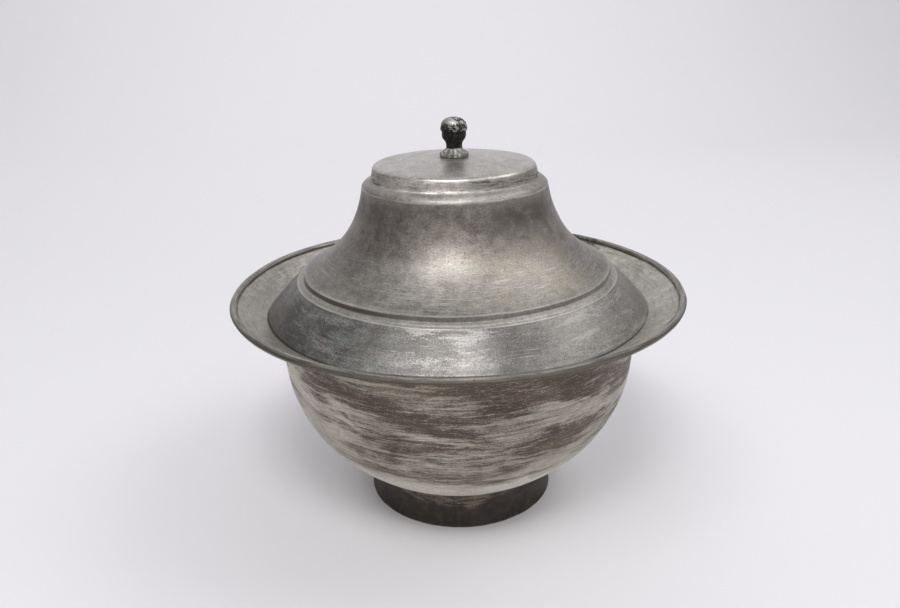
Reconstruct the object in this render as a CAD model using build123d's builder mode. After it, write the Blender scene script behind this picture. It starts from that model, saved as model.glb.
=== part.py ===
"""Lidded bowl of tinned copper: a footed, flanged bowl and a domed lid with a riveted knob.

Every piece is round about +Z. The origin is the centre of the circle that the foot stands on.
The lid is shown seated on the flange and lifts straight up.
"""

import os
from math import cos, radians, sin, sqrt, tan

from build123d import *

os.makedirs("parts", exist_ok=True)

# ---- Driving dimensions, in millimetres and degrees ----
SHEET = 1.2  # hammered and turned copper sheet, tinned

# Bowl: points of its outer profile as (radius, height)
BASE_HEIGHT = 9.0  # underside of the bowl on the axis
FOOT_SEAM_RADIUS = 60.6
FOOT_SEAM_HEIGHT = 23.6
BELLY = (98.4, 57.0)
SHOULDER = (113.2, 98.8)
WALL_TOP = (116.5, 127.5)
THROAT_RADIUS = 3.5  # bend between the wall and the flange
THROAT_SPREAD = 0.3  # how far the throat stands out past the top of the wall

# Flange and rolled rim
RIM_OUTER_RADIUS = 145.0
RIM_CENTRE_HEIGHT = 143.6
WIRE_RADIUS = 1.1
FLANGE_SLOPE = 27.5

# Foot ring
FOOT_RADIUS = 62.2
FOOT_SHEET = 1.5
FOOT_WAIST = 0.6  # how far the foot's side is drawn in between top and bottom
SOLDER_INSIDE = 2.6
SOLDER_OUTSIDE = 0.9
SOLDER_HOLLOW = 5.2  # radius of the inner fillet's hollow face

# Lid: points of its outer profile as (radius, height)
PLATE_EDGE = (50.4, 224.2)
DOME_RISE = 3.8  # the top plate is slightly domed
CAP_FOOT = (52.3, 216.3)
LEDGE_EDGE = (58.0, 212.1)
LEDGE_START_ANGLE = -18.0
NECK_START_ANGLE = -82.6
NECK_UPPER = (65.1, 189.2)
NECK_LOWER = (77.9, 172.4)
STEP_EDGE = (97.4, 159.4)
STEP_FOOT = (97.8, 157.0)
BRIM_START = (101.9, 154.4)
BRIM_START_ANGLE = -42.0
LID_RADIUS = 121.6
PLATE_CORNER_RADIUS = 2.6
CAP_FOOT_RADIUS = 2.2
EDGE_ROUNDING = 0.5
LID_SEAT_GAP = 0.35  # between the lid's outer edge and the flange below it

# Knob, collar and rivet. Heights are above the top of the lid's dome.
TANG_RADIUS = 2.5
COLLAR_RADIUS = 9.6
COLLAR_EDGE_HEIGHT = 2.6
COLLAR_HEIGHT = 6.0
COLLAR_UNDERCUT = 0.8  # the collar's edge leans in towards its seat
COLLAR_SLOPE = 25.0  # slope of the collar's upper side at its edge
PETALS = 8
PETAL_NOTCH_RADIUS = 1.1
NECK_RADIUS = 4.5
HEAD_PROFILE = [(4.5, 8.6), (7.2, 11.2), (8.5, 17.6), (7.2, 21.7), (4.2, 23.7)]
KNOB_HEIGHT = 24.0
WASHER_RADIUS = 6.5
WASHER_THICKNESS = 1.2
PEEN_RADIUS = 3.9
PEEN_HEIGHT = 1.6

# ---- Values worked out from the driving dimensions ----
BEAD_RADIUS = WIRE_RADIUS + SHEET
RIM_CENTRE = (RIM_OUTER_RADIUS - BEAD_RADIUS, RIM_CENTRE_HEIGHT)
HALF_SHEET_UP = SHEET / 2 / cos(radians(FLANGE_SLOPE))
DOME_TOP = PLATE_EDGE[1] + DOME_RISE


def sphere_radius(radius, rise):
    """Radius of the sphere that rises by rise at a distance of radius from its lowest point."""
    return (radius**2 + rise**2) / (2 * rise)


BASE_SPHERE = sphere_radius(FOOT_SEAM_RADIUS, FOOT_SEAM_HEIGHT - BASE_HEIGHT)
DOME_SPHERE = sphere_radius(PLATE_EDGE[0], DOME_RISE)


def flange_height(radius):
    """Height of the middle of the flange's sheet."""
    return RIM_CENTRE_HEIGHT - (RIM_CENTRE[0] - radius) * tan(radians(FLANGE_SLOPE))


def on_base(radius):
    """Point of the bowl's underside."""
    return (radius, BASE_HEIGHT + BASE_SPHERE - sqrt(BASE_SPHERE**2 - radius**2))


def on_dome(radius):
    """Point of the lid's domed top plate."""
    return (radius, DOME_TOP - DOME_SPHERE + sqrt(DOME_SPHERE**2 - radius**2))


def direction(angle):
    """Unit vector in the profile plane at an angle in degrees."""
    return (cos(radians(angle)), sin(radians(angle)))


def corner(line, point):
    """The vertex of a profile that stands at a point."""
    return line.vertices().sort_by_distance(point)[0]


# ---- Bowl: raised shell with its flange and the tube of the rolled rim ----
throat_radius = WALL_TOP[0] + THROAT_SPREAD
throat = (throat_radius, flange_height(throat_radius) - HALF_SHEET_UP)
with BuildPart() as bowl_shell:
    with BuildSketch(Plane.XZ):
        with BuildLine() as bowl_profile:
            base = TangentArc((0, BASE_HEIGHT), on_base(FOOT_SEAM_RADIUS), tangent=(1, 0))
            belly = TangentArc(base @ 1, BELLY, tangent=base % 1)
            shoulder = TangentArc(belly @ 1, SHOULDER, tangent=belly % 1)
            wall = TangentArc(shoulder @ 1, WALL_TOP, tangent=shoulder % 1)
            Line(wall @ 1, throat)
            Line(throat, (RIM_CENTRE[0], RIM_CENTRE_HEIGHT - HALF_SHEET_UP))
            fillet(corner(bowl_profile, throat), THROAT_RADIUS)
            offset(amount=SHEET, side=Side.LEFT)
        make_face()
        with Locations(RIM_CENTRE):
            Circle(BEAD_RADIUS)
            Circle(WIRE_RADIUS, mode=Mode.SUBTRACT)
    revolve(axis=Axis.Z)
bowl_shell.part.label = "bowl_shell"
export_step(bowl_shell.part, "parts/bowl_shell.step")

# ---- Iron wire inside the rolled rim ----
with BuildPart() as rim_core_wire:
    with BuildSketch(Plane.XZ):
        with Locations(RIM_CENTRE):
            Circle(WIRE_RADIUS)
    revolve(axis=Axis.Z)
rim_core_wire.part.label = "rim_core_wire"
export_step(rim_core_wire.part, "parts/rim_core_wire.step")

# ---- Foot ring: a slightly flared band whose top edge fits the underside of the bowl ----
foot_inner_radius = FOOT_SEAM_RADIUS - FOOT_SHEET
foot_middle = (FOOT_RADIUS + FOOT_SEAM_RADIUS) / 2 - FOOT_WAIST
with BuildPart() as foot_ring:
    with BuildSketch(Plane.XZ):
        with BuildLine():
            outside = ThreePointArc(
                (FOOT_RADIUS, 0),
                (foot_middle, FOOT_SEAM_HEIGHT / 2),
                on_base(FOOT_SEAM_RADIUS),
            )
            top = RadiusArc(outside @ 1, on_base(foot_inner_radius), BASE_SPHERE)
            inside = ThreePointArc(
                top @ 1,
                (foot_middle - FOOT_SHEET, FOOT_SEAM_HEIGHT / 2),
                (FOOT_RADIUS - FOOT_SHEET, 0),
            )
            Line(inside @ 1, outside @ 0)
        make_face()
    revolve(axis=Axis.Z)
foot_ring.part.label = "foot_ring"
export_step(foot_ring.part, "parts/foot_ring.step")

# ---- Solder that joins the foot to the bowl: a heavy fillet inside, a light one outside ----
inner_corner = on_base(foot_inner_radius)
outer_corner = on_base(FOOT_SEAM_RADIUS)
with BuildPart() as foot_solder_seam:
    with BuildSketch(Plane.XZ):
        with BuildLine():
            under_base = RadiusArc(inner_corner, on_base(foot_inner_radius - SOLDER_INSIDE), BASE_SPHERE)
            down_foot = Line(inner_corner, (foot_inner_radius, inner_corner[1] - SOLDER_INSIDE))
            RadiusArc(down_foot @ 1, under_base @ 1, SOLDER_HOLLOW)
        make_face()
        with BuildLine():
            under_belly = RadiusArc(outer_corner, belly @ (SOLDER_OUTSIDE / belly.length), -belly.radius)
            down_side = Line(outer_corner, (FOOT_SEAM_RADIUS, outer_corner[1] - SOLDER_OUTSIDE))
            Line(down_side @ 1, under_belly @ 1)
        make_face()
    revolve(axis=Axis.Z)
    add(foot_ring.part, mode=Mode.SUBTRACT)
foot_solder_seam.part.label = "foot_solder_seam"
export_step(foot_solder_seam.part, "parts/foot_solder_seam.step")

# ---- Lid: domed plate, cap, ledge, flared neck, stepped moulding and brim in one sheet ----
seat_height = flange_height(LID_RADIUS) + HALF_SHEET_UP + LID_SEAT_GAP
with BuildPart() as lid_shell:
    with BuildSketch(Plane.XZ):
        with BuildLine() as lid_profile:
            RadiusArc((0, DOME_TOP), PLATE_EDGE, DOME_SPHERE)
            Line(PLATE_EDGE, CAP_FOOT)
            ledge = TangentArc(CAP_FOOT, LEDGE_EDGE, tangent=direction(LEDGE_START_ANGLE))
            neck_top = TangentArc(LEDGE_EDGE, NECK_UPPER, tangent=direction(NECK_START_ANGLE))
            neck_bend = TangentArc(NECK_UPPER, NECK_LOWER, tangent=neck_top % 1)
            neck_flare = TangentArc(NECK_LOWER, STEP_EDGE, tangent=neck_bend % 1)
            Line(STEP_EDGE, STEP_FOOT)
            Line(STEP_FOOT, BRIM_START)
            TangentArc(BRIM_START, (LID_RADIUS, seat_height), tangent=direction(BRIM_START_ANGLE))
            fillet(corner(lid_profile, PLATE_EDGE), PLATE_CORNER_RADIUS)
            fillet(corner(lid_profile, CAP_FOOT), CAP_FOOT_RADIUS)
            fillet(corner(lid_profile, LEDGE_EDGE), EDGE_ROUNDING)
            offset(amount=SHEET, side=Side.RIGHT)
        make_face()
    revolve(axis=Axis.Z)
    with Locations((0, 0, DOME_TOP)):
        Hole(TANG_RADIUS)
lid_shell.part.label = "lid_shell"
export_step(lid_shell.part, "parts/lid_shell.step")

# ---- Collar: a flared disc with notched petals, seated on the domed plate ----
collar_top = DOME_TOP + COLLAR_HEIGHT
collar_edge = on_dome(COLLAR_RADIUS - COLLAR_UNDERCUT)
with BuildPart() as finial_collar:
    with BuildSketch(Plane.XZ):
        with BuildLine():
            seat = RadiusArc(on_dome(TANG_RADIUS), collar_edge, DOME_SPHERE)
            tip = Line(seat @ 1, (COLLAR_RADIUS, DOME_TOP + COLLAR_EDGE_HEIGHT))
            flare = TangentArc(tip @ 1, (NECK_RADIUS, collar_top), tangent=direction(180 - COLLAR_SLOPE))
            Line(flare @ 1, (TANG_RADIUS, collar_top))
            Line((TANG_RADIUS, collar_top), seat @ 0)
        make_face()
    revolve(axis=Axis.Z)
    with Locations((0, 0, DOME_TOP)):
        with PolarLocations(COLLAR_RADIUS + PETAL_NOTCH_RADIUS / 2, PETALS):
            Cylinder(PETAL_NOTCH_RADIUS, 2 * COLLAR_HEIGHT, mode=Mode.SUBTRACT)
finial_collar.part.label = "finial_collar"
export_step(finial_collar.part, "parts/finial_collar.step")

# ---- Knob: bud-shaped head, neck, tang through the lid and the head peened over the washer ----
washer_top = on_dome(WASHER_RADIUS)[1] - SHEET
washer_bottom = washer_top - WASHER_THICKNESS
with BuildPart() as finial_knob:
    with BuildSketch(Plane.XZ):
        with BuildLine():
            peen = TangentArc(
                (0, washer_bottom - PEEN_HEIGHT),
                (PEEN_RADIUS, washer_bottom),
                tangent=(1, 0),
            )
            shank = Polyline(
                peen @ 1,
                (TANG_RADIUS, washer_bottom),
                (TANG_RADIUS, collar_top),
                (NECK_RADIUS, collar_top),
            )
            head_points = [(radius, DOME_TOP + height) for radius, height in HEAD_PROFILE]
            head = Spline(
                shank @ 1,
                *head_points,
                (0, DOME_TOP + KNOB_HEIGHT),
                tangents=[(0, 1), (-1, 0)],
            )
            Line(head @ 1, peen @ 0)
        make_face()
    revolve(axis=Axis.Z)
finial_knob.part.label = "finial_knob"
export_step(finial_knob.part, "parts/finial_knob.step")

# ---- Washer between the lid and the peened end of the tang ----
with BuildPart() as finial_washer:
    with BuildSketch(Plane.XY.offset(washer_bottom)):
        Circle(WASHER_RADIUS)
        Circle(TANG_RADIUS, mode=Mode.SUBTRACT)
    extrude(amount=WASHER_THICKNESS)
finial_washer.part.label = "finial_washer"
export_step(finial_washer.part, "parts/finial_washer.step")
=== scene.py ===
import math

import bmesh
import bpy
import numpy as np
from mathutils import Matrix, Vector


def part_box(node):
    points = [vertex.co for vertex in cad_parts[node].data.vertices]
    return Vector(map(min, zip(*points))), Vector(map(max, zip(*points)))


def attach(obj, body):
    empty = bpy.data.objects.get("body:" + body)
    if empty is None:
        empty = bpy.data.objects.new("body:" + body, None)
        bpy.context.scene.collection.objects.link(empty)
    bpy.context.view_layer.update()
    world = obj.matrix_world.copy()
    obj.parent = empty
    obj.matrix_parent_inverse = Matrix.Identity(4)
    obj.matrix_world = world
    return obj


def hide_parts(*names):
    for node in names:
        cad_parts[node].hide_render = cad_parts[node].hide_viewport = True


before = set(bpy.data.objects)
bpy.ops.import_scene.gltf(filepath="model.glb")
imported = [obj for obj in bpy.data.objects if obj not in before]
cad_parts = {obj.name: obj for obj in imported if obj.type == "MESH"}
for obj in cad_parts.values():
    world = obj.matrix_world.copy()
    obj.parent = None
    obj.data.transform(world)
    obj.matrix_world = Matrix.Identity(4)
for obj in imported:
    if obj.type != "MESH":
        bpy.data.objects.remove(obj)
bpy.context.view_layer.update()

# Lengths are in millimetres, and become metres where a mesh or the camera is made.
# The stage and the lights are in metres. Heights are along Z, and the front is at -Y.
MM = 0.001
NEAR_PLANE = 0.002  # a CAD vertex this near the plane y = 0 is on the outline
SAME_POINT = 0.004  # CAD vertices closer than this are one point
ON_AXIS = 0.01  # a smaller radius than this is on the axis
CORNER = 24  # an outline has a corner where it turns by more than this, in degrees
CREASE_ANGLE = 38  # faces that meet at a larger angle than this, in degrees, are shaded apart


# ---- Camera ----
def make_camera():
    """A camera in front of the bowl and above it, looking down at it. Its angles are in radians."""
    distance, height, pitch, roll, yaw = 492.9, 315.7, 0.3592, -0.0245, -0.0100
    forward = Vector((math.sin(yaw) * math.cos(pitch), math.cos(yaw) * math.cos(pitch), -math.sin(pitch)))
    right = forward.cross(Vector((0, 0, 1))).normalized()
    up = right.cross(forward)
    right, up = (
        right * math.cos(roll) + up * math.sin(roll),
        up * math.cos(roll) - right * math.sin(roll),
    )
    camera = bpy.data.objects.new("camera", bpy.data.cameras.new("camera"))
    camera.matrix_world = Matrix((right, up, -forward)).transposed().to_4x4()
    camera.location = (0, -distance * MM, height * MM)
    camera.data.sensor_width = 36.0
    camera.data.lens = 31.9
    bpy.context.scene.collection.objects.link(camera)
    bpy.context.scene.camera = camera


# ---- Outlines of the CAD nodes ----
def half_section(node):
    """The CAD node's outline at y = 0, as a list of (points, closed). Points are (radius, height)."""
    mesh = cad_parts[node].data
    flat = np.empty(len(mesh.vertices) * 3, np.float32)
    mesh.vertices.foreach_get("co", flat)
    place = flat.reshape(-1, 3) / MM
    here = np.flatnonzero((abs(place[:, 1]) < NEAR_PLANE) & (place[:, 0] > -NEAR_PLANE))
    points = place[here][:, [0, 2]].astype(float)
    apart = np.hypot(*(points[:, None] - points[None]).transpose(2, 0, 1))
    same = dict(zip(here.tolist(), (apart < SAME_POINT).argmax(axis=1).tolist()))
    links = {}
    for edge in mesh.edges:
        a, b = (same.get(v) for v in edge.vertices)
        if a is not None and b is not None and a != b:
            links.setdefault(a, set()).add(b)
            links.setdefault(b, set()).add(a)
    loose = [a for a in links if len(links[a]) == 1 and points[a, 0] > ON_AXIS]
    loose.sort(key=lambda a: (round(points[a, 1], 2), points[a, 0]))
    for a, b in zip(loose[::2], loose[1::2]):
        links[a].add(b)
        links[b].add(a)
    chains = []
    while links:
        ends = [a for a in links if len(links[a]) == 1]
        a = min(ends, key=lambda e: points[e, 1]) if ends else min(links, key=lambda e: points[e, 0])
        chain = [a]
        while links.get(a):
            b = min(links[a])
            links[a].discard(b)
            links[b].discard(a)
            chain.append(b)
            a = b
        links = {a: near for a, near in links.items() if near}
        closed = chain[0] == chain[-1]
        chains.append((points[chain[:-1] if closed else chain], closed))
    return chains


def turning(points, closed):
    """How sharply an outline turns at each point, in degrees. The ends of an open one count as sharp."""
    before = points - np.roll(points, 1, axis=0)
    after = np.roll(points, -1, axis=0) - points
    angle = np.degrees(np.arctan2(after[:, 1], after[:, 0]) - np.arctan2(before[:, 1], before[:, 0]))
    angle = abs((angle + 180) % 360 - 180)
    if not closed:
        angle[[0, -1]] = 180
    return angle


def fine_run(run, step, marks):
    """Points along a smooth curve through a run of points, step apart, and closer about the marks on it."""
    length = np.r_[0, np.cumsum(np.hypot(*np.diff(run, axis=0).T))]
    slope = np.gradient(run, length, axis=0)
    count = max(2, math.ceil(length[-1] / step) + 1)
    wanted = np.linspace(0, length[-1], count)
    for mark, width in marks:
        apart = np.hypot(*(run - mark).T)
        if apart.min() < 3:
            middle = length[apart.argmin()]
            extra = middle + width * np.linspace(-2.6, 2.6, 13)
            wanted = np.r_[wanted, extra[(extra > 0.05) & (extra < length[-1] - 0.05)]]
    wanted = np.unique(np.round(wanted, 2))
    wanted = wanted[np.r_[True, np.diff(wanted) > 0.04]]
    i = np.clip(np.searchsorted(length, wanted, side="right") - 1, 0, len(length) - 2)
    span = (length[i + 1] - length[i])[:, None]
    t = (wanted - length[i])[:, None] / span
    start, end = run[i], run[i + 1]
    return (
        start * (1 + 2 * t) * (1 - t) ** 2
        + end * t * t * (3 - 2 * t)
        + slope[i] * span * t * (1 - t) ** 2
        - slope[i + 1] * span * t * t * (1 - t)
    )


def fine_outline(points, closed, steps, marks=()):
    """An outline with even, close points. Its corners stay, and steps are (outer side, inner side)."""
    if closed:
        first = turning(points, True).argmax()
        points = np.roll(points, -first, axis=0)
        points = np.vstack([points, points[:1]])
    sharp = turning(points, False) > CORNER
    corners = np.flatnonzero(sharp)
    edge = points[:, 0].argmax()
    out = []
    for a, b in zip(corners[:-1], corners[1:]):
        cuts = [a, edge, b] if a < edge < b else [a, b]
        for c, d in zip(cuts[:-1], cuts[1:]):
            out.append(fine_run(points[c : d + 1], steps[0] if d <= edge else steps[1], marks)[:-1])
    out = np.vstack(out)
    return out if closed else np.vstack([out, points[-1:]])


# ---- Hand work: small dents and wavering ----
def waves(size, seed, count=16):
    """A smooth random field over space, about -1 to 1, with lumps of about size."""
    rng = np.random.default_rng(seed)
    ways = rng.normal(size=(count, 3))
    ways /= np.linalg.norm(ways, axis=1)[:, None]
    ways *= (2 * math.pi / size * rng.uniform(0.55, 1.5, count))[:, None]
    phases = rng.uniform(0, 2 * math.pi, count)
    return lambda place: np.cos(place @ ways.T + phases).sum(axis=1) / math.sqrt(count)


def smooth(value, start, end):
    """From 0 at start to 1 at end."""
    t = np.clip((value - start) / (end - start), 0, 1)
    return t * t * (3 - 2 * t)


BROAD_OUT, BROAD_UP = waves(95, 1), waves(120, 2)
DENT_OUT, DENT_UP = waves(26, 3), waves(30, 4)
RIM_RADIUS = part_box("bowl_shell")[1].x / MM
LID_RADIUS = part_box("lid_shell")[1].x / MM


def hand_worked(place):
    """Moves points as the coppersmith's hammer and years of use did. Pieces that touch move together."""
    radius = np.hypot(place[:, 0], place[:, 1])
    out = 0.22 * BROAD_OUT(place) + 0.07 * DENT_OUT(place)
    out = out * smooth(radius, 2, 20) - 0.42 * smooth(radius, RIM_RADIUS - 25, RIM_RADIUS - 3)
    up = (0.2 * BROAD_UP(place) + 0.05 * DENT_UP(place)) * smooth(place[:, 2], 0.5, 14)
    up *= 1 - smooth(place[:, 2], 225, 240)
    share = out / np.maximum(radius, 1)
    return place + np.c_[place[:, 0] * share, place[:, 1] * share, up]


# ---- Turned pieces ----
def turned(name, loops, segments, extra=None):
    """A mesh turned from loops of (points, closed), and then reshaped by extra.

    Each vertex keeps how far along the outline it is, and whether it is past the widest point.
    """
    angle = np.linspace(0, 2 * math.pi, segments, endpoint=False)
    places, faces, along, inner = [], [], [], []
    count = 0
    for points, closed in loops:
        length = np.r_[0, np.cumsum(np.hypot(*np.diff(points, axis=0).T))]
        edge = points[:, 0].argmax()
        rows = []
        for i, (radius, height) in enumerate(points):
            size = 1 if radius < ON_AXIS else segments
            rows.append(np.arange(count, count + size))
            ring = np.c_[radius * np.cos(angle), radius * np.sin(angle), np.full(segments, height)]
            places.append(ring[:size] * ([0, 0, 1] if size == 1 else 1))
            along += [length[i]] * size
            inner += [float(i > edge)] * size
            count += size
        if closed:
            rows.append(rows[0])
        for a, b in zip(rows[:-1], rows[1:]):
            if len(a) == 1 and len(b) == 1:
                continue
            if len(a) == 1:
                faces += np.c_[np.roll(b, -1), b, np.repeat(a, segments)].tolist()
            elif len(b) == 1:
                faces += np.c_[a, np.roll(a, -1), np.repeat(b, segments)].tolist()
            else:
                faces += np.c_[a, np.roll(a, -1), np.roll(b, -1), b].tolist()
    place = np.vstack(places)
    along, inner = np.array(along), np.array(inner)
    marks = {"along": along, "inner": inner}
    if extra:
        place, more = extra(place)
        marks.update(more)
    place = hand_worked(place)
    mesh = bpy.data.meshes.new(name)
    mesh.from_pydata((place * MM).tolist(), [], faces)
    for key, values in marks.items():
        mesh.attributes.new(key, "FLOAT", "POINT").data.foreach_set("value", values.astype(np.float32))
    made = bmesh.new()
    made.from_mesh(mesh)
    bmesh.ops.recalc_face_normals(made, faces=made.faces)
    made.to_mesh(mesh)
    made.free()
    mesh.polygons.foreach_set("use_smooth", [True] * len(mesh.polygons))
    mesh.set_sharp_from_angle(angle=math.radians(CREASE_ANGLE))
    piece = bpy.data.objects.new(name, mesh)
    bpy.context.scene.collection.objects.link(piece)
    return piece


def place_piece(piece, node, body, look):
    """Gives a piece its material, puts it under its body and hides the CAD node it stands for."""
    piece.data.materials.append(look)
    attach(piece, body)
    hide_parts(node)


def bumps_on(points, marks):
    """An outline with small turned ridges and grooves: marks are (point, width, height)."""
    along = np.gradient(points, axis=0)
    along /= np.maximum(np.hypot(*along.T), 1e-9)[:, None]
    outward = np.c_[along[:, 1], -along[:, 0]]
    result = points.copy()
    for mark, width, height in marks:
        nearest = np.hypot(*(points - mark).T).argmin()
        apart = np.hypot(*(points - points[nearest]).T)
        same_side = outward @ outward[nearest] > 0.2
        share = height * np.exp(-((apart / width) ** 2)) * same_side
        result += outward * share[:, None]
    return result


# ---- Materials ----
class Look:
    """A metal's node tree. Lengths in it are in millimetres."""

    def __init__(self, name):
        self.material = bpy.data.materials.new(name)
        self.material.use_nodes = True
        self.tree = self.material.node_tree
        self.shader = self.tree.nodes["Principled BSDF"]
        self.place = self.scaled(self.add("ShaderNodeTexCoord").outputs["Object"], 1 / MM)
        self.x, self.y, self.z = self.add("ShaderNodeSeparateXYZ", Vector=self.place).outputs
        squares = self.total(self.product(self.x, self.x), self.product(self.y, self.y))
        self.radius = self.math("SQRT", squares)
        safe = self.math("MAXIMUM", self.radius, 0.5)
        self.east = self.math("DIVIDE", self.x, safe)
        self.north = self.math("DIVIDE", self.y, safe)
        self.along = self.attribute("along")
        self.inner = self.attribute("inner")

    def add(self, kind, **inputs):
        node = self.tree.nodes.new(kind)
        for key, value in inputs.items():
            self.plug(node.inputs[key], value)
        return node

    def plug(self, socket, value):
        if isinstance(value, bpy.types.NodeSocket):
            self.tree.links.new(value, socket)
        elif socket.type == "RGBA" and len(value) == 3:
            socket.default_value = (*value, 1.0)
        else:
            socket.default_value = value

    def attribute(self, name):
        node = self.add("ShaderNodeAttribute")
        node.attribute_name = name
        return node.outputs["Fac"]

    def math(self, operation, *values, clamp=False):
        node = self.add("ShaderNodeMath")
        node.operation = operation
        node.use_clamp = clamp
        for socket, value in zip(node.inputs, values):
            self.plug(socket, value)
        return node.outputs[0]

    def product(self, *values):
        result = values[0]
        for value in values[1:]:
            result = self.math("MULTIPLY", result, value)
        return result

    def total(self, *values):
        result = values[0]
        for value in values[1:]:
            result = self.math("ADD", result, value)
        return result

    def inverse(self, value):
        return self.math("SUBTRACT", 1.0, value)

    def scaled(self, vector, scale):
        node = self.add("ShaderNodeVectorMath")
        node.operation = "SCALE"
        self.plug(node.inputs[0], vector)
        self.plug(node.inputs["Scale"], scale)
        return node.outputs[0]

    def fade(self, value, start, end):
        """From 0 where value is start to 1 where it is end, and start may be the larger."""
        low, high = min(start, end), max(start, end)
        node = self.add("ShaderNodeMapRange", Value=value)
        node.interpolation_type = "SMOOTHSTEP"
        node.inputs["From Min"].default_value = low
        node.inputs["From Max"].default_value = high
        rising = node.outputs["Result"]
        return rising if end > start else self.inverse(rising)

    def band(self, value, low, high, soft):
        """1 where value is between low and high, with soft ends."""
        rise = self.fade(value, low - soft, low + soft)
        return self.product(rise, self.fade(value, high + soft, high - soft))

    def toward(self, degrees, low, high):
        """1 on the side of the piece at an azimuth, where the front is 0 and the right is 90."""
        a = math.radians(degrees)
        aim = self.total(self.product(self.east, math.sin(a)), self.product(self.north, -math.cos(a)))
        return self.fade(aim, low, high)

    def noise(self, vector, size, detail=4.0, roughness=0.6, distortion=0.0, shift=0.0):
        """Noise whose lumps are about size across."""
        node = self.add("ShaderNodeTexNoise", Vector=vector, Detail=detail, Roughness=roughness,
                        Distortion=distortion, Scale=1 / size)
        if shift:
            node.noise_dimensions = "4D"
            node.inputs["W"].default_value = shift
        return node.outputs["Fac"]

    def spots(self, vector, size, jitter=1.0):
        """Distance to the nearest of scattered points that are about size apart."""
        node = self.add("ShaderNodeTexVoronoi", Vector=vector, Scale=1 / size, Randomness=jitter)
        return node.outputs["Distance"]

    def rings(self, around, across, waver=0.0, shift=0.0):
        """A vector for patterns in rings. Around is lumps to a radian, across is lumps to a millimetre."""
        along = self.along
        if waver:
            wander = self.math("SUBTRACT", self.noise(self.place, 30.0, 2.0), 0.5)
            along = self.total(along, self.product(wander, waver))
        node = self.add("ShaderNodeCombineXYZ", X=self.product(self.east, around),
                        Y=self.product(self.north, around),
                        Z=self.total(self.product(along, across), shift))
        return node.outputs[0]

    def mix(self, share, a, b):
        node = self.add("ShaderNodeMix")
        node.data_type = "RGBA"
        self.plug(node.inputs[0], share)
        self.plug(node.inputs[6], a)
        self.plug(node.inputs[7], b)
        return node.outputs[2]

    def tint(self, colour, value, strength):
        """Lightens and darkens a colour by a value that lies about 0.5."""
        gain = self.total(1.0, self.product(self.math("SUBTRACT", value, 0.5), strength))
        node = self.add("ShaderNodeVectorMath")
        node.operation = "SCALE"
        self.plug(node.inputs[0], colour)
        self.plug(node.inputs["Scale"], gain)
        return node.outputs[0]

    def finish(self, colour, metallic, roughness, height):
        """Plugs in the surface. Height is in millimetres."""
        bump = self.add("ShaderNodeBump", Height=height, Distance=MM)
        self.plug(self.shader.inputs["Base Color"], colour)
        self.plug(self.shader.inputs["Metallic"], metallic)
        self.plug(self.shader.inputs["Roughness"], roughness)
        self.plug(self.shader.inputs["Normal"], bump.outputs[0])
        return self.material


BRIGHT_TIN = (0.62, 0.60, 0.56)
CREST_TIN_AND_HIGHLIGHT = (0.64, 0.63, 0.60)
HAIRLINE_TIN = (0.52, 0.505, 0.47)
RUBBED_TIN = (0.47, 0.455, 0.445)
WARM_TIN = (0.385, 0.355, 0.292)
FLECK_TIN = (0.52, 0.475, 0.41)
BEAD_LIGHT, BEAD_DARK, BEAD_EDGE_HIGHLIGHT = (0.36, 0.345, 0.31), (0.15, 0.138, 0.12), (0.62, 0.59, 0.53)
GREEN_TARNISH = (0.28, 0.315, 0.285)
GOLD_TARNISH = (0.34, 0.25, 0.165)
DARK_TARNISH_AND_SHADE = (0.070, 0.062, 0.053)
CREASE_GRIME_AND_SHADE = (0.06, 0.062, 0.048)
DIM_COPPER = (0.225, 0.195, 0.155)
COPPER_BROWN, COPPER_DARK = (0.092, 0.060, 0.041), (0.050, 0.035, 0.026)
COPPER_CUT = (0.085, 0.062, 0.045)
TIN_METALLIC = 0.93
ROUGHEST = 0.9


def tinned_layers(look, base):
    """What bowl and lid share: turning lines, grain, scratches, specks and pits over a base colour."""
    lines = look.noise(look.rings(8.0, 1.5, 2.0), 1.0, 4.0, 0.62)
    fine = look.noise(look.rings(22.0, 3.6), 1.0, 2.0, 0.5, shift=3.0)
    grain = look.noise(look.place, 0.85, 3.0, 0.7)
    mottle = look.noise(look.place, 4.5, 5.0, 0.7, 0.4, shift=4.0)
    colour = look.tint(base, lines, 0.55)
    colour = look.tint(colour, fine, 0.30)
    colour = look.tint(colour, grain, 1.5)
    colour = look.tint(colour, mottle, 1.15)
    scratch = look.product(
        look.fade(look.noise(look.rings(4.0, 1.6, 1.5), 1.0, 4.0, 0.7, shift=5.0), 0.585, 0.66),
        look.fade(look.noise(look.place, 18.0, 3.0), 0.42, 0.6),
    )
    speck = look.product(
        look.fade(grain, 0.60, 0.68),
        look.fade(look.noise(look.place, 13.0, 4.0, shift=7.0), 0.48, 0.62),
    )
    pits = look.product(
        look.fade(look.spots(look.place, 5.5), 0.13, 0.06),
        look.fade(look.noise(look.place, 16.0, 2.0, shift=9.0), 0.54, 0.64),
    )
    return colour, lines, fine, grain, mottle, scratch, speck, pits


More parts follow.
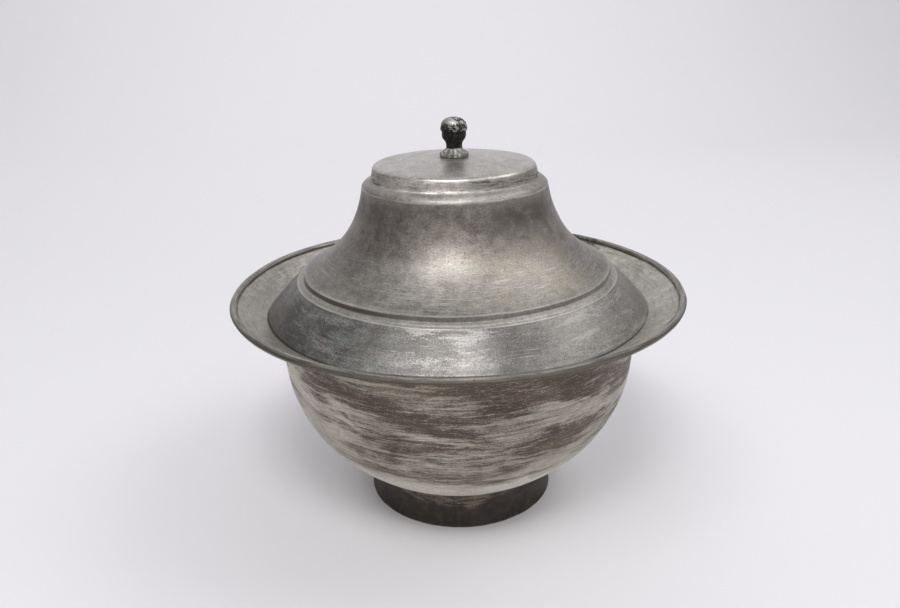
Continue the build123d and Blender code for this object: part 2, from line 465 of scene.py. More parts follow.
def lid_look(zones):
    """Worn tin over the lid: light flat top, brown-grey neck, scuffed flare, dark brim. Painted shade under
    the ledge, below the step and along the edge, painted highlights on the crests, and painted light on the
    cap's wall and on the brim's right side.
    """
    look = Look("tinned_copper_lid")
    along = look.along
    cloud = look.noise(look.place, 38.0, 5.0, 0.6)
    patch = look.noise(look.place, 13.0, 5.0, 0.68, 0.6, shift=2.0)
    top = look.fade(along, zones["cap"] + 0.5, zones["cap"] - 1.0)
    neck = look.band(along, zones["neck"], zones["flare"], 6.0)
    flare = look.band(along, zones["flare"], zones["step"] + 0.5, 6.0)
    brim = look.fade(along, zones["brim"] - 0.3, zones["brim"] + 0.3)
    base = look.mix(look.fade(cloud, 0.35, 0.65), (0.44, 0.42, 0.39), (0.33, 0.31, 0.285))
    # Painted light: the cap's wall is lighter on its front left side.
    wall = look.product(look.band(along, zones["cap"], zones["ledge"], 0.8), look.toward(-25, 0.80, 0.97))
    base = look.mix(wall, base, (0.68, 0.64, 0.60))
    top_colour = look.mix(look.fade(patch, 0.4, 0.65), (0.54, 0.52, 0.49), (0.44, 0.42, 0.39))
    base = look.mix(top, base, top_colour)
    neck_colour = look.mix(look.fade(patch, 0.40, 0.66), (0.30, 0.272, 0.247), (0.20, 0.178, 0.160))
    base = look.mix(look.product(neck, 0.95), base, neck_colour)
    warm = look.product(
        look.band(along, zones["flare"] - 10, zones["step"] - 3, 8.0),
        look.toward(34, 0.80, 0.99),
        look.fade(patch, 0.36, 0.58),
    )
    flare_colour = look.mix(look.fade(patch, 0.40, 0.64), (0.285, 0.268, 0.243), (0.205, 0.190, 0.171))
    base = look.mix(look.product(flare, 0.92), base, flare_colour)
    base = look.mix(look.product(warm, 0.7), base, WARM_TIN)
    brim_colour = look.mix(look.fade(cloud, 0.38, 0.62), (0.255, 0.243, 0.234), (0.150, 0.142, 0.135))
    # Painted light: the brim is lighter on its right side.
    brim_colour = look.mix(look.toward(62, 0.72, 0.97), brim_colour, (0.30, 0.288, 0.268))
    base = look.mix(brim, base, brim_colour)
    green = look.product(brim, look.toward(-36, 0.93, 0.995), look.fade(patch, 0.44, 0.60))
    base = look.mix(look.product(green, 0.45), base, GREEN_TARNISH)
    colour, lines, fine, grain, mottle, scratch, speck, pits = tinned_layers(look, base)

    hairs = look.fade(look.noise(look.rings(5.0, 2.2, 1.0), 1.0, 5.0, 0.76, shift=21.0), 0.515, 0.585)
    hairs = look.product(hairs, look.fade(look.noise(look.place, 15.0, 4.0, shift=22.0), 0.40, 0.58), flare)
    colour = look.mix(look.product(hairs, 0.75), colour, HAIRLINE_TIN)
    colour = look.mix(look.product(scratch, look.total(0.22, look.product(brim, 0.35))), colour, BRIGHT_TIN)

    places = look.total(
        0.30,
        look.product(look.toward(-48, 0.90, 0.99), 0.55),
        look.toward(-3, 0.965, 0.995),
        look.toward(55, 0.88, 0.99),
    )
    rub = look.noise(look.rings(3.6, 0.17, 5.0), 1.0, 7.0, 0.74, 0.5, shift=4.0)
    rub = look.fade(look.total(look.product(rub, 0.70), look.product(grain, 0.30)), 0.515, 0.565)
    rub = look.product(rub, brim, look.math("MINIMUM", places, 1.0))
    colour = look.mix(look.product(rub, 0.68), colour, RUBBED_TIN)
    colour = look.mix(look.product(speck, look.total(0.30, look.product(brim, 0.15))), colour, BRIGHT_TIN)

    # Painted shade under the ledge, darkest toward the left and right sides, broken up by a stain pattern.
    under = look.band(along, zones["neck"] + 2, zones["neck"] + 17, 5.0)
    sides = look.total(
        0.30,
        look.product(look.toward(46, 0.80, 0.96), 0.7),
        look.product(look.toward(-52, 0.85, 0.98), 0.55),
    )
    stain = look.fade(look.noise(look.rings(2.4, 0.07, 6.0), 1.0, 6.0, 0.66, 0.8, shift=6.0), 0.38, 0.54)
    stain = look.product(under, stain, look.math("MINIMUM", sides, 1.0))
    streaks = look.product(
        look.band(along, zones["cap"] + 0.3, zones["ledge"], 0.6),
        look.fade(look.noise(look.rings(2.6, 0.50, 2.0), 1.0, 6.0, 0.74, 0.3, shift=8.0), 0.54, 0.60),
    )
    # Painted shadow of the step on the band below it, strongest on the left.
    step_shadow = look.product(
        look.band(along, zones["step"] + 0.3, zones["step"] + 3.0, 0.5),
        look.fade(look.noise(look.rings(2.2, 0.3), 1.0, 4.0, shift=10.0), 0.32, 0.50),
        look.total(0.10, look.product(look.toward(-48, 0.80, 0.97), 0.75)),
    )
    # Painted shade in a thin band just below the ledge's edge.
    ledge_edge_shade = look.product(look.band(along, zones["neck"] + 0.6, zones["neck"] + 2.6, 0.8), 0.22)
    shade = look.product(
        look.band(along, zones["neck"] + 3, zones["neck"] + 18, 6.0),
        look.toward(44, 0.86, 0.99),
        look.fade(patch, 0.26, 0.46),
        0.72,
    )
    # Painted shade under the ledge, below the step and along the edge joins real streaks, pits and specks
    # here, all in one dark tarnish colour.
    grime_and_shade = look.math("MAXIMUM", look.product(stain, 0.62), shade)
    # Painted shade along the lid's lower edge, strongest at the left front and the right.
    lip = look.product(
        look.band(along, zones["edge"] - 0.7, zones["edge"] + 1.5, 0.3),
        look.total(
            0.20,
            look.product(look.toward(-42, 0.80, 0.95), 0.7),
            look.product(look.toward(38, 0.90, 0.99), 0.5),
        ),
    )
    dark_specks = look.product(
        look.fade(grain, 0.415, 0.345),
        look.fade(look.noise(look.place, 12.0, 3.0, shift=24.0), 0.40, 0.60),
    )
    for layer in (look.product(streaks, 0.8), step_shadow, ledge_edge_shade, look.product(pits, 0.6), lip,
                  look.product(dark_specks, 0.45)):
        grime_and_shade = look.math("MAXIMUM", grime_and_shade, layer)
    colour = look.mix(grime_and_shade, colour, DARK_TARNISH_AND_SHADE)

    # Lighter crests at the ledge, the step and the brim's ridge: partly wear and partly painted highlight.
    crest = look.total(
        look.band(along, zones["neck"] - 0.9, zones["neck"] + 0.1, 0.4),
        look.product(look.band(along, zones["step"] - 1.5, zones["step"] - 0.2, 0.5), 0.7),
        look.band(along, zones["brim"] - 0.7, zones["brim"] + 0.3, 0.4),
    )
    worn = look.fade(look.noise(look.rings(4.0, 0.8), 1.0, 5.0, 0.7, shift=12.0), 0.34, 0.60)
    colour = look.mix(look.product(crest, worn, 0.65), colour, CREST_TIN_AND_HIGHLIGHT)
    inside = look.mix(look.fade(cloud, 0.4, 0.6), (0.50, 0.49, 0.46), (0.36, 0.345, 0.32))
    colour = look.mix(look.inner, colour, look.tint(inside, lines, 0.5))
    roughness = look.total(
        0.47,
        look.product(look.math("SUBTRACT", lines, 0.5), 0.30),
        look.product(look.math("SUBTRACT", mottle, 0.5), 0.35),
        look.product(grime_and_shade, 0.15),
        look.product(top, -0.10),
        look.product(rub, 0.06),
    )
    height = look.total(look.product(lines, 0.007), look.product(fine, 0.003), look.product(grain, 0.012),
                        look.product(mottle, 0.012), look.product(pits, -0.04), look.product(rub, 0.004))
    metallic = look.total(TIN_METALLIC, look.product(grime_and_shade, -0.45))
    return look.finish(colour, metallic, look.math("MINIMUM", roughness, ROUGHEST), height)


def bowl_look(zones):
    """Worn tin over the bowl: copper shows through in streaks below the rim, and the lower belly is painted
    paler as a reflection of the floor. Painted shade on the flange's left side, at the lid's seat and on
    the bead's side, and a painted highlight under the bead.
    """
    look = Look("tinned_copper_bowl")
    along, z = look.along, look.z
    cloud = look.noise(look.place, 40.0, 5.0, 0.6)
    patch = look.noise(look.place, 15.0, 5.0, 0.7, 0.5, shift=2.0)
    outer = look.inverse(look.inner)
    base = look.mix(look.fade(cloud, 0.38, 0.62), (0.52, 0.485, 0.415), (0.42, 0.388, 0.328))
    # Painted reflection of the floor: the belly is paler low down.
    base = look.mix(look.product(look.fade(z, 66.0, 34.0), outer), base, (0.88, 0.85, 0.76))
    colour, lines, fine, grain, mottle, scratch, speck, pits = tinned_layers(look, base)

    broad = look.noise(look.rings(1.5, 0.065, 12.0), 1.0, 6.0, 0.70, 0.6, shift=1.0)
    streak = look.noise(look.rings(2.6, 0.55, 4.0), 1.0, 7.0, 0.76, 0.1, shift=2.0)
    thin = look.noise(look.rings(4.0, 2.0, 2.0), 1.0, 5.0, 0.72, shift=3.0)
    texture = look.total(look.product(streak, 0.36), look.product(thin, 0.36), look.product(grain, 0.28))
    bias = look.total(
        look.product(look.fade(broad, 0.40, 0.60), 0.115),
        look.product(look.fade(z, 62.0, 104.0), 0.050),
        look.product(look.fade(z, 60.0, 38.0), -0.11),
        look.product(look.toward(-62, 0.70, 0.98), -0.045),
        look.product(look.toward(0, 0.60, 0.98), 0.030),
        look.product(look.band(z, 112.0, 130.0, 6.0), 0.028),
        -0.076,
    )
    amount = look.total(texture, bias)
    bare = look.product(look.fade(amount, 0.522, 0.546), outer)
    brown = look.mix(look.fade(patch, 0.4, 0.62), COPPER_BROWN, COPPER_DARK)
    colour = look.mix(look.product(bare, 0.88), colour, look.tint(look.tint(brown, thin, 1.2), grain, 1.2))
    dim = look.product(look.fade(amount, 0.455, 0.520), look.inverse(bare), outer)
    colour = look.mix(look.product(dim, 0.62), colour, look.tint(DIM_COPPER, thin, 1.2))
    colour = look.mix(look.product(scratch, outer, 0.65), colour, BRIGHT_TIN)
    colour = look.mix(look.product(speck, 0.6), colour, BRIGHT_TIN)
    flecks = look.fade(look.noise(look.rings(30.0, 1.6, 1.0), 1.0, 4.0, 0.76, shift=31.0), 0.575, 0.615)
    colour = look.mix(look.product(flecks, outer, 0.45), colour, FLECK_TIN)
    cuts = look.fade(look.noise(look.rings(6.5, 2.2, 1.0), 1.0, 5.0, 0.76, shift=32.0), 0.565, 0.605)
    cuts = look.product(cuts, outer, look.fade(z, 34.0, 60.0))
    colour = look.mix(look.product(cuts, 0.75), colour, COPPER_CUT)
    gold = look.product(
        outer, look.band(z, 121.0, 133.0, 4.0), look.toward(0, 0.85, 0.99), look.inverse(bare)
    )
    colour = look.mix(look.product(gold, 0.45), colour, GOLD_TARNISH)
    soot = look.product(outer, look.band(z, 22.0, 29.0, 3.0), look.fade(patch, 0.42, 0.62), 0.5)
    colour = look.mix(soot, colour, DARK_TARNISH_AND_SHADE)

    flange = look.product(look.inner, look.fade(look.radius, 112.0, 117.0))
    pale = look.mix(look.fade(cloud, 0.4, 0.62), (0.50, 0.48, 0.43), (0.39, 0.37, 0.325))
    blotch = look.fade(look.noise(look.place, 7.0, 7.0, 0.76, 0.6, shift=11.0), 0.49, 0.56)
    pale = look.mix(look.product(blotch, 0.55), pale, (0.66, 0.65, 0.61))
    # Painted shade: the flange is darker on its left side.
    pale = look.mix(look.toward(-75, 0.55, 0.95), pale, look.tint(pale, 0.25, 1.0))
    pale = look.tint(look.tint(pale, lines, 0.6), grain, 0.7)
    colour = look.mix(look.product(flange, 0.92), colour, pale)
    scuff = look.noise(look.rings(5.0, 0.40, 3.0), 1.0, 6.0, 0.74, shift=13.0)
    scuff = look.total(look.product(scuff, 0.75), look.product(grain, 0.25))
    scuff = look.product(flange, look.fade(scuff, 0.535, 0.585))
    colour = look.mix(look.product(scuff, 0.6), colour, (0.20, 0.185, 0.155))
    crease = look.math("MAXIMUM", look.band(along, zones["crease"] - 0.8, zones["crease"] + 0.6, 0.5),
                       look.product(look.band(along, zones["line"] - 0.3, zones["line"] + 0.3, 0.25), 0.45))
    crease_noise = look.noise(look.rings(5.0, 0.5), 1.0, 4.0, shift=14.0)
    crease = look.product(crease, look.fade(crease_noise, 0.32, 0.58))
    stain = look.product(
        flange,
        look.toward(138, 0.968, 0.998),
        look.fade(look.radius, 120.0, 137.0),
        look.fade(look.noise(look.place, 8.0, 6.0, 0.75, 0.5, shift=15.0), 0.44, 0.58),
    )
    bead = look.band(along, zones["bead"], zones["crease"] - 0.5, 0.6)
    bead_wear = look.noise(look.rings(6.0, 0.7), 1.0, 6.0, 0.74, shift=16.0)
    worn_bead = look.mix(look.fade(bead_wear, 0.44, 0.60), BEAD_LIGHT, BEAD_DARK)
    colour = look.mix(look.product(bead, 0.9), colour, look.tint(worn_bead, grain, 0.9))
    # Painted shade on the flange under the lid's edge, strongest at the left front and the right.
    seat = look.product(
        look.inner,
        look.band(look.radius, LID_RADIUS - 1.2, LID_RADIUS + 1.0, 0.5),
        look.total(
            0.35,
            look.product(look.toward(-45, 0.70, 0.90), 0.9),
            look.product(look.toward(40, 0.86, 0.98), 0.6),
        ),
    )
    # Painted shade on the bead's lower outer side.
    side = look.band(along, zones["bead"] - 1.2, zones["bead"] + 1.4, 0.35)
    colour = look.mix(look.product(side, 0.75), colour, look.tint((0.11, 0.10, 0.085), grain, 0.9))
    # Painted highlight: a thin light line along the bead's lower edge.
    under = look.band(along, zones["bead"] - 2.4, zones["bead"] - 1.8, 0.25)
    colour = look.mix(look.product(under, 0.60), colour, BEAD_EDGE_HIGHLIGHT)
    # The crease, the stain and the pits are darkened here together with the painted shade at the lid's
    # seat.
    grime_and_shade = look.product(crease, 0.75)
    for layer in (look.product(stain, 0.85), look.product(pits, 0.6), look.math("MINIMUM", seat, 0.95)):
        grime_and_shade = look.math("MAXIMUM", grime_and_shade, layer)
    colour = look.mix(grime_and_shade, colour, CREASE_GRIME_AND_SHADE)
    dark = look.math("MAXIMUM", look.product(bare, 0.6), grime_and_shade)
    roughness = look.total(0.46, look.product(look.math("SUBTRACT", lines, 0.5), 0.30),
                           look.product(look.math("SUBTRACT", mottle, 0.5), 0.30), look.product(dark, 0.14))
    height = look.total(look.product(lines, 0.009), look.product(fine, 0.003), look.product(grain, 0.010),
                        look.product(mottle, 0.010), look.product(pits, -0.04), look.product(bare, -0.02))
    metallic = look.total(TIN_METALLIC, look.product(dark, -0.15))
    return look.finish(colour, metallic, look.math("MINIMUM", roughness, ROUGHEST), height)


def foot_look():
    """Copper gone nearly black, with smears of tin where it meets the bowl."""
    look = Look("dark_copper_foot")
    patch = look.noise(look.place, 12.0, 6.0, 0.7, 0.5)
    lines = look.noise(look.rings(7.0, 1.2, 2.0), 1.0, 4.0, 0.6)
    grain = look.noise(look.place, 0.9, 4.0, 0.7)
    colour = look.mix(look.fade(patch, 0.38, 0.64), (0.030, 0.023, 0.018), (0.062, 0.049, 0.038))
    colour = look.tint(look.tint(colour, lines, 1.0), grain, 0.8)
    wipe = look.noise(look.rings(3.0, 0.45, 2.0), 1.0, 6.0, 0.74, 0.3, shift=4.0)
    reach = look.total(look.z, look.product(look.noise(look.place, 14.0, 4.0, shift=3.0), 16.0),
                       look.product(look.toward(-12, 0.70, 0.98), 6.5))
    wiped = look.fade(look.total(look.product(wipe, 0.7), look.product(grain, 0.3)), 0.46, 0.54)
    smear = look.product(look.fade(reach, 28.0, 33.0), wiped)
    colour = look.mix(look.product(smear, 0.7), colour, (0.27, 0.235, 0.19))
    worn = look.fade(look.noise(look.place, 5.0, 4.0, shift=5.0), 0.4, 0.6)
    worn = look.product(look.fade(look.z, 1.6, 0.4), worn)
    colour = look.mix(look.product(worn, 0.4), colour, (0.20, 0.16, 0.12))
    roughness = look.product(look.math("SUBTRACT", patch, 0.5), 0.4)
    roughness = look.total(0.50, roughness, look.product(smear, -0.06))
    height = look.total(look.product(grain, 0.035), look.product(lines, 0.02), look.product(smear, 0.05))
    return look.finish(colour, look.total(0.35, look.product(smear, 0.5)), roughness, height)


def solder_look():
    """Dull tin solder, wiped while soft, with dirt in its hollows."""
    look = Look("tin_solder")
    patch = look.noise(look.place, 6.0, 5.0, 0.7, 0.5)
    grain = look.noise(look.place, 0.8, 4.0, 0.7)
    colour = look.mix(look.fade(patch, 0.42, 0.6), (0.40, 0.385, 0.355), (0.16, 0.145, 0.125))
    colour = look.tint(colour, grain, 0.8)
    height = look.total(look.product(grain, 0.04), look.product(patch, 0.12))
    return look.finish(colour, 0.9, look.total(0.45, look.product(patch, 0.2)), height)


def cast_look(name, dark, light, worn, wear):
    """Rough casting: dark in its hollows and worn on its high points, by the cavity kept on the mesh."""
    look = Look(name)
    cavity = look.attribute("cavity")
    grain = look.noise(look.place, 0.55, 5.0, 0.75)
    patch = look.noise(look.place, 2.6, 5.0, 0.7, 0.5)
    colour = look.mix(look.fade(patch, 0.4, 0.62), dark, light)
    colour = look.tint(look.tint(colour, grain, 1.3), patch, 0.8)
    high = look.fade(look.total(cavity, look.product(grain, 0.5)), 0.75, 1.15)
    # On the knob, the worn attribute also holds painted light on one side of the cap.
    high = look.product(high, look.attribute("worn"))
    colour = look.mix(look.product(high, wear), colour, look.tint(worn, grain, 0.9))
    hollow = look.fade(look.total(cavity, look.product(grain, 0.3)), 0.42, 0.18)
    colour = look.mix(look.product(hollow, 0.9), colour, (0.018, 0.016, 0.014))
    roughness = look.total(0.44, look.product(grain, 0.3), look.product(high, -0.08))
    height = look.total(look.product(grain, 0.10), look.product(patch, 0.05))
    return look.finish(colour, look.total(0.7, look.product(high, 0.25)), roughness, height)


def plain_metal_look(name, light, dark, size):
    """Tarnished metal on the small pieces that mostly stay out of sight."""
    look = Look(name)
    patch = look.noise(look.place, size, 5.0, 0.7, 0.4)
    grain = look.noise(look.place, 0.7, 4.0, 0.7)
    colour = look.tint(look.mix(look.fade(patch, 0.4, 0.6), light, dark), grain, 0.9)
    height = look.total(look.product(grain, 0.03), look.product(patch, 0.04))
    return look.finish(colour, 0.9, look.total(0.38, look.product(patch, 0.25)), height)


# ---- Pieces ----
def nearest_along(points, radius, height):
    """How far along an outline the point nearest to (radius, height) is."""
    length = np.r_[0, np.cumsum(np.hypot(*np.diff(points, axis=0).T))]
    return float(length[np.hypot(points[:, 0] - radius, points[:, 1] - height).argmin()])


def from_top(loop):
    """A closed outline that starts at the top of its bore and goes outward."""
    bore = np.flatnonzero(loop[:, 0] < loop[:, 0].min() + ON_AXIS)
    loop = np.roll(loop, -bore[loop[bore, 1].argmax()], axis=0)
    if loop[1, 0] - loop[0, 0] < ON_AXIS:
        loop = np.roll(loop[::-1], 1, axis=0)
    return loop


def make_bowl():
    sections = sorted(half_section("bowl_shell"), key=lambda s: -len(s[0]))
    outer, _ = sections[0]
    if outer[0, 1] > outer[-1, 1]:
        outer = outer[::-1]
    edge = outer[:, 0].argmax()
    flange = outer[edge:]
    crease = flange[(turning(outer, False)[edge:] > CORNER).argmax()]
    run = flange[flange[:, 0] < crease[0]]
    slope = (run[0] - run[1]) / np.hypot(*(run[0] - run[1]))
    ridge, line = crease - slope * 1.9, crease - slope * 3.4
    marks = [(crease - slope * 0.5, 0.5, -0.22), (ridge, 0.7, 0.20), (line, 0.4, -0.16)]
    dense = fine_outline(outer, False, (2.1, 3.2), [(m[0], m[1]) for m in marks])
    dense = bumps_on(dense, marks)
    hole = fine_outline(*sections[1], (0.6, 0.6))
    zones = {
        "bead": nearest_along(dense, RIM_RADIUS, crease[1]),
        "crease": nearest_along(dense, *crease),
        "line": nearest_along(dense, *line),
    }
    piece = turned("bowl", [(dense, False), (hole, True)], segments=400)
    place_piece(piece, "bowl_shell", "bowl", bowl_look(zones))


# Where the lid's outline changes, as (radius, height) in millimetres.
CAP_EDGE, LEDGE, NECK_START, FLARE_START = (50.2, 222.8), (52.6, 215.4), (58.0, 211.9), (72.0, 178.5)


def make_lid():
    """The lid. Returns the outline of its outer side, which the collar sits on."""
    section, _ = max(half_section("lid_shell"), key=lambda s: len(s[0]))
    section = from_top(section)
    outer = section[: section[:, 0].argmax() + 1]
    sharp = outer[turning(outer, False) > CORNER]
    sharp = sharp[(sharp[:, 0] > 90) & (sharp[:, 0] < 110)]
    step, foot = sharp[0], sharp[1]
    brim = outer[outer[:, 0] > foot[0] + 1.5][0]
    ridge = foot + (brim - foot) * 0.42
    edge_groove = outer[-1] + np.array([-2.6, 3.0])
    marks = [(ridge, 0.45, 0.16), (brim, 0.7, 0.22), (edge_groove, 0.5, -0.10)]
    dense = from_top(fine_outline(section, True, (1.2, 3.2), [(m[0], m[1]) for m in marks]))
    dense = bumps_on(dense[::-1], marks)[::-1]
    shown = dense[: dense[:, 0].argmax() + 1]
    zones = {
        "cap": nearest_along(shown, *CAP_EDGE),
        "ledge": nearest_along(shown, *LEDGE),
        "neck": nearest_along(shown, *NECK_START),
        "flare": nearest_along(shown, *FLARE_START),
        "step": nearest_along(shown, *step),
        "brim": nearest_along(shown, *brim),
        "edge": nearest_along(shown, *outer[-1]),
    }
    piece = turned("lid", [(dense, True)], segments=400)
    place_piece(piece, "lid_shell", "lid", lid_look(zones))
    return outer


def make_foot():
    section, _ = half_section("foot_ring")[0]
    dense = fine_outline(section, True, (0.8, 1.6))
    nicks = waves(9, 11)

    def wear(place):
        low = smooth(place[:, 2], 3.0, 0.0)
        radius = np.hypot(place[:, 0], place[:, 1])
        share = low * 0.16 * np.minimum(nicks(place), 0) / radius
        place = place + np.c_[place[:, 0] * share, place[:, 1] * share, np.zeros(len(place))]
        return place, {}

    piece = turned("foot", [(dense, True)], segments=400, extra=wear)
    place_piece(piece, "foot_ring", "bowl", foot_look())


def make_solder():
    sections = half_section("foot_solder_seam")
    loops = [(fine_outline(points, True, (0.45, 0.45)), True) for points, _ in sections]
    lumps, small = waves(11, 21), waves(3.5, 22)

    def wipe(place):
        radius = np.hypot(place[:, 0], place[:, 1])
        share = (0.14 * lumps(place) + 0.07 * small(place)) / radius
        place = place + np.c_[place[:, 0] * share, place[:, 1] * share, 0.12 * lumps(place[:, ::-1])]
        return place, {}

    piece = turned("foot_solder", loops, segments=420, extra=wipe)
    place_piece(piece, "foot_solder_seam", "bowl", solder_look())


def make_knob():
    """The cast knob: a rough domed cap that hangs over a smooth black head, on a short neck."""
    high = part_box("finial_knob")[1]
    top, wide = high.z / MM, high.x / MM
    section, closed = max(half_section("finial_knob"), key=lambda s: len(s[0]))
    if section[0, 1] < section[-1, 1]:
        section = section[::-1]
    sweep = np.radians(np.r_[0, 3, np.arange(6, 91, 6)])
    dome = np.c_[(wide - 0.1) * np.sin(sweep) ** 0.85, top - 0.05 - 6.3 * (1 - np.cos(sweep) ** 0.9)]
    # The head, as how far inside the widest radius and how far below the top each point is.
    head = [(0.2, 8.0), (0.7, 8.6), (1.15, 9.0), (1.0, 10.2), (1.1, 11.6),
            (1.7, 13.2), (2.7, 14.4), (3.3, 15.6), (3.5, 17.0), (3.6, 18.6)]
    head = np.array([(wide - inside, top - below) for inside, below in head])
    stem = section[section[:, 1] < head[-1, 1] - 0.6]
    outline = np.vstack([dome, head, stem])
    dense = fine_outline(outline, closed, (0.28, 0.28))
    lumps, facets, chips, pores = waves(6.0, 31), waves(2.1, 32), waves(1.1, 33), waves(0.8, 34)

    def cast(place):
        below = top - place[:, 2]
        angle = np.arctan2(place[:, 1], place[:, 0])
        radius = np.hypot(place[:, 0], place[:, 1])
        cap_edge = 8.4 + 0.45 * np.sin(2 * angle + 0.6) + 0.25 * np.sin(5 * angle + 2.0)
        cap = 1 - smooth(below, cap_edge - 0.2, cap_edge + 0.3)
        rough = 0.55 * np.abs(facets(place)) + 0.25 * np.abs(lumps(place)) + 0.25 * np.abs(chips(place))
        rough = np.clip(rough, 0, 1.3)
        calm = smooth(place[:, 0] + 0.5 * place[:, 1], 1.0, -5.0) * (1 - smooth(below, 2.0, 5.0))
        deep = cap * (0.70 * (1 - rough) * (1 - calm) + 0.10) + (1 - cap) * 0.10 * rough
        deep = (deep + 0.10 * np.abs(pores(place)) * cap * (1 - calm)) * smooth(below, 19.5, 17.5)
        way = np.clip(below / 6.6, 0, 1)
        share = -deep * np.sqrt(1 - (1 - way) ** 2) / np.maximum(radius, 0.3)
        place = place + np.c_[place[:, 0] * share, place[:, 1] * share, -deep * (1 - way)]
        cavity = np.clip(cap * (0.15 + 0.75 * rough) + cap * calm * 0.6 + (1 - cap) * 0.30, 0, 1)
        # Painted light: the worn grey on the cap grows toward its right front side.
        lit_side = smooth(place[:, 0] - 0.4 * place[:, 1], -4.0, 4.0)
        return place, {"cavity": cavity, "worn": cap * np.clip(0.20 + 0.75 * lit_side + 0.45 * calm, 0, 1)}

    piece = turned("knob", [(dense, closed)], segments=160, extra=cast)
    look = cast_look("cast_knob", (0.016, 0.014, 0.013), (0.045, 0.041, 0.037), (0.60, 0.595, 0.57), 0.85)
    place_piece(piece, "finial_knob", "lid", look)


def make_collar(lid_outer):
    """The collar under the knob: a low cone with a petal-like, broken edge."""
    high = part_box("finial_collar")[1]
    top, wide = high.z / MM, high.x / MM

    def seat(radius):
        return np.interp(radius, lid_outer[:, 0], lid_outer[:, 1])

    base = seat(3.0)
    under = [(r, float(seat(r))) for r in np.linspace(2.5, wide - 0.9, 14)]
    lip_top = base + 2.75
    lip = [(wide - 0.25, base + 0.9), (wide, base + 1.9), (wide - 0.5, lip_top)]
    shoulder = [
        (wide - 0.5 - (wide - 5.0) * t, lip_top + (top - base - 2.75) * (0.35 * t + 0.65 * t**2.2))
        for t in np.linspace(0, 1, 30)[1:]
    ]
    outline = np.array(under + lip + shoulder + [(2.5, top)])
    dense = fine_outline(outline, True, (0.3, 0.3))
    facets, chips, pores = waves(3.4, 41), waves(1.6, 42), waves(0.8, 43)
    rng = np.random.default_rng(44)
    gaps = np.sort(np.linspace(0, 2 * math.pi, 8, endpoint=False) + rng.uniform(-0.22, 0.22, 8))
    depth = rng.uniform(0.15, 1.0, 8)

    def petals(place):
        angle = np.arctan2(place[:, 1], place[:, 0])
        radius = np.hypot(place[:, 0], place[:, 1])
        off = np.angle(np.exp(1j * (angle[:, None] - gaps[None])))
        notch = (depth * np.exp(-((off / 0.10) ** 2))).max(axis=1)
        broad = (depth * np.exp(-((off / 0.26) ** 2))).max(axis=1)
        outer = smooth(radius, 4.6, 8.8)
        floor = seat(radius)
        free = smooth(place[:, 2] - floor, 0.0, 1.2)
        rough = np.clip(0.5 * np.abs(facets(place)) + 0.35 * np.abs(chips(place)), 0, 1.2)
        pull = outer * (0.85 * notch + 0.25 * broad + 0.40 * (1 - rough) * free)
        pull = pull + 0.08 * np.abs(pores(place)) * free
        sag = 0.55 * (1 - rough) * smooth(radius, 4.4, 6.0)
        drop = free * (outer * (0.30 * notch + 0.20 * broad) + sag)
        share = -pull / np.maximum(radius, 1)
        place = place + np.c_[place[:, 0] * share, place[:, 1] * share, -drop]
        place[:, 2] = np.maximum(place[:, 2], floor)
        cavity = np.clip(0.25 + 0.75 * rough - 0.45 * notch * outer - 0.4 * (1 - free), 0, 1)
        return place, {"cavity": cavity, "worn": np.ones(len(place))}

    piece = turned("collar", [(dense, True)], segments=256, extra=petals)
    look = cast_look("cast_collar", (0.19, 0.183, 0.168), (0.31, 0.30, 0.278), (0.60, 0.59, 0.56), 0.8)
    place_piece(piece, "finial_collar", "lid", look)


def make_washer():
    low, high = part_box("finial_washer")
    bottom, top, wide = low.z / MM, high.z / MM, high.x / MM
    outline = np.array([
        (2.55, bottom + 0.15), (2.7, bottom), (wide - 0.35, bottom), (wide - 0.05, bottom + 0.3),
        (wide - 0.05, top - 0.2), (wide - 0.3, top), (2.55, top),
    ])
    dense = fine_outline(outline, True, (0.25, 0.25))
    uneven = waves(7, 51)

    def cut(place):
        radius = np.hypot(place[:, 0], place[:, 1])
        share = -0.28 * np.abs(uneven(place * [1, 1, 0])) * smooth(radius, 3.5, wide) / radius
        return place + np.c_[place[:, 0] * share, place[:, 1] * share, np.zeros(len(place))], {}

    piece = turned("washer", [(dense, True)], segments=160, extra=cut)
    look = plain_metal_look("copper_washer", (0.36, 0.27, 0.21), (0.15, 0.12, 0.10), 3.0)
    place_piece(piece, "finial_washer", "lid", look)


def dress_wire():
    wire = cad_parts["rim_core_wire"]
    look = plain_metal_look("iron_wire", (0.20, 0.18, 0.165), (0.10, 0.065, 0.045), 4.0)
    wire.data.materials.clear()
    wire.data.materials.append(look)


# ---- Stage and light ----
def make_stage():
    """A pale sweep: floor, curve and back wall in one sheet."""
    bend_start, bend_radius, half_width = 1.35, 0.75, 4.0
    floor = [(-2.6, 0.0), (bend_start, 0.0)]
    curve = [
        (bend_start + bend_radius * math.sin(a), bend_radius - bend_radius * math.cos(a))
        for a in np.radians(np.arange(4, 91, 4))
    ]
    profile = floor + curve + [(2.1, 2.6)]
    verts = [(x, y, z) for y, z in profile for x in (-half_width, half_width)]
    faces = [(2 * i, 2 * i + 1, 2 * i + 3, 2 * i + 2) for i in range(len(profile) - 1)]
    mesh = bpy.data.meshes.new("sweep")
    mesh.from_pydata(verts, [], faces)
    mesh.polygons.foreach_set("use_smooth", [True] * len(mesh.polygons))
    sweep = bpy.data.objects.new("sweep", mesh)
    bpy.context.scene.collection.objects.link(sweep)
    paper = bpy.data.materials.new("paper")
    paper.use_nodes = True
    shader = paper.node_tree.nodes["Principled BSDF"]
    shader.inputs["Base Color"].default_value = (0.84, 0.83, 0.86, 1)
    shader.inputs["Roughness"].default_value = 0.75
    mesh.materials.append(paper)


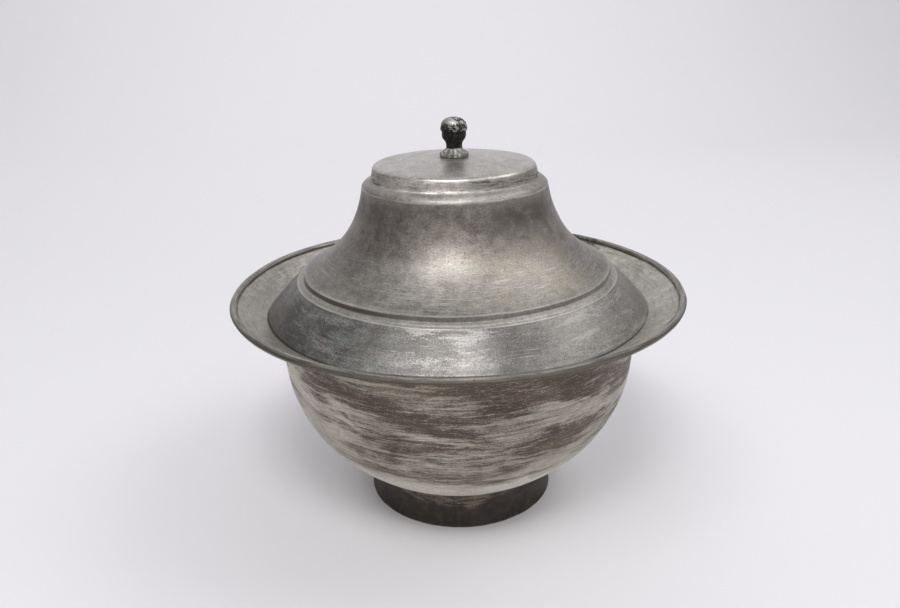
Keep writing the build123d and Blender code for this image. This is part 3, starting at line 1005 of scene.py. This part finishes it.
def add_light(name, place, target, size, power, colour=(1, 1, 1)):
    """A soft rectangular light that faces a point."""
    data = bpy.data.lights.new(name, "AREA")
    data.shape = "RECTANGLE"
    data.size, data.size_y = size
    data.energy = power
    data.color = colour
    light = bpy.data.objects.new(name, data)
    light.location = place
    light.rotation_euler = (Vector(target) - Vector(place)).to_track_quat("-Z", "Y").to_euler()
    bpy.context.scene.collection.objects.link(light)


def make_light():
    world = bpy.context.scene.world or bpy.data.worlds.new("studio")
    bpy.context.scene.world = world
    world.use_nodes = True
    tree = world.node_tree
    background = tree.nodes["Background"]
    where = tree.nodes.new("ShaderNodeTexCoord")
    split = tree.nodes.new("ShaderNodeSeparateXYZ")
    tree.links.new(where.outputs["Generated"], split.inputs[0])
    ramp = tree.nodes.new("ShaderNodeValToRGB")
    ramp.color_ramp.elements[0].position = 0.0
    ramp.color_ramp.elements[0].color = (0.36, 0.35, 0.34, 1)
    ramp.color_ramp.elements[1].position = 0.75
    ramp.color_ramp.elements[1].color = (0.92, 0.92, 0.94, 1)
    tree.links.new(split.outputs["Z"], ramp.inputs[0])
    tree.links.new(ramp.outputs[0], background.inputs["Color"])
    across = tree.nodes.new("ShaderNodeMapRange")
    across.inputs["From Min"].default_value = -0.9
    across.inputs["From Max"].default_value = 0.6
    across.inputs["To Min"].default_value = 0.36
    across.inputs["To Max"].default_value = 0.80
    tree.links.new(split.outputs["X"], across.inputs["Value"])
    tree.links.new(across.outputs["Result"], background.inputs["Strength"])
    add_light("key", (-0.06, -0.92, 1.50), (0, 0, 0.12), (0.5, 0.34), 9.0, (1.0, 0.99, 0.98))
    add_light("left", (-0.62, -0.78, 1.75), (0, 0, 0.1), (0.6, 0.6), 5.0)
    add_light("right", (1.15, 0.0, 1.60), (0, 0, 0.1), (1.0, 0.9), 6.0)
    add_light("wall", (-0.3, 1.15, 1.5), (-0.3, 2.0, 0.30), (2.6, 0.5), 8.5)


make_camera()
make_stage()
make_light()
make_bowl()
lid_outer = make_lid()
make_foot()
make_solder()
make_knob()
make_collar(lid_outer)
make_washer()
dress_wire()
bpy.context.scene.view_settings.view_transform = "Standard"

bpy.context.view_layer.update()
